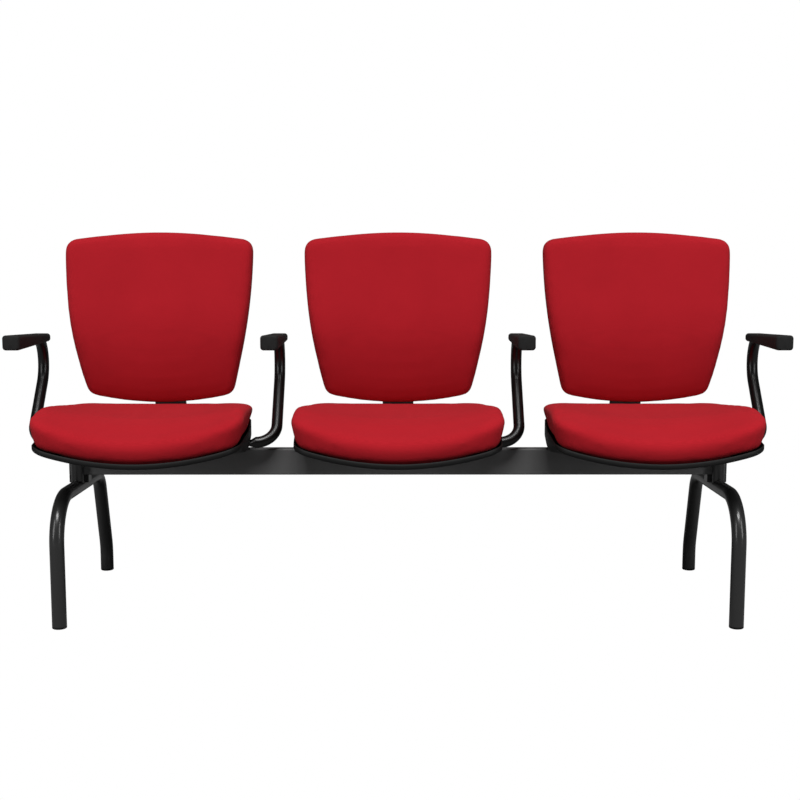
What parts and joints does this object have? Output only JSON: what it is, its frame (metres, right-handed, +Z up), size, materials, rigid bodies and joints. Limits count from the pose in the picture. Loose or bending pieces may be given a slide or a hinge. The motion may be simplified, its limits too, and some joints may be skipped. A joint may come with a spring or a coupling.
{
  "type": "beam seating",
  "caption": "Row of upholstered seats with separate backs and loop arms on one steel beam, carried by two bent tube legs.",
  "frame": {"origin": "on the floor, half way along the beam, in the plane of the beam's front face", "axes": "+X along the beam, to the right as seen from the front, +Y to the rear, +Z up"},
  "size_m": [1.697, 0.5744, 0.8435],
  "materials": {
    "upholstery": "woven, matte",
    "black_plastic": "fine texture",
    "black_steel": "semi-gloss powder coat",
    "pad_foam": "fine leather grain",
    "plywood": "bare",
    "zinc_steel": "zinc plated"
  },
  "bodies": {
    "root": {"arm_bolts": "zinc_steel", "arm_pad_left_left": "pad_foam", "arm_pad_left_right": "pad_foam", "arm_pad_middle_right": "pad_foam", "arm_pad_right_right": "pad_foam", "arm_tube_left_left": "black_steel", "arm_tube_left_right": "black_steel", "arm_tube_middle_right": "black_steel", "arm_tube_right_right": "black_steel", "back_blade_left": "black_steel", "back_blade_middle": "black_steel", "back_blade_right": "black_steel", "back_board_left": "plywood", "back_board_middle": "plywood", "back_board_right": "plywood", "back_bolts": "zinc_steel", "back_cushion_left": "upholstery", "back_cushion_middle": "upholstery", "back_cushion_right": "upholstery", "back_shell_left": "black_plastic", "back_shell_middle": "black_plastic", "back_shell_right": "black_plastic", "beam": "black_steel", "beam_cap_left": "black_plastic", "beam_cap_right": "black_plastic", "blade_bolts": "zinc_steel", "bracket_bolts": "zinc_steel", "foot_glide_left_front": "black_plastic", "foot_glide_left_rear": "black_plastic", "foot_glide_right_front": "black_plastic", "foot_glide_right_rear": "black_plastic", "leg_arch_left": "black_steel", "leg_arch_right": "black_steel", "leg_bolts": "zinc_steel", "leg_post_left": "black_steel", "leg_post_right": "black_steel", "leg_saddle_left": "black_steel", "leg_saddle_right": "black_steel", "pad_screws": "zinc_steel", "post_cap_left": "black_plastic", "post_cap_right": "black_plastic", "seat_board_left": "plywood", "seat_board_middle": "plywood", "seat_board_right": "plywood", "seat_bolts": "zinc_steel", "seat_bracket_left": "black_steel", "seat_bracket_middle": "black_steel", "seat_bracket_right": "black_steel", "seat_cushion_left": "upholstery", "seat_cushion_middle": "upholstery", "seat_cushion_right": "upholstery", "seat_shell_left": "black_plastic", "seat_shell_middle": "black_plastic", "seat_shell_right": "black_plastic"}
  },
  "joints": []
}
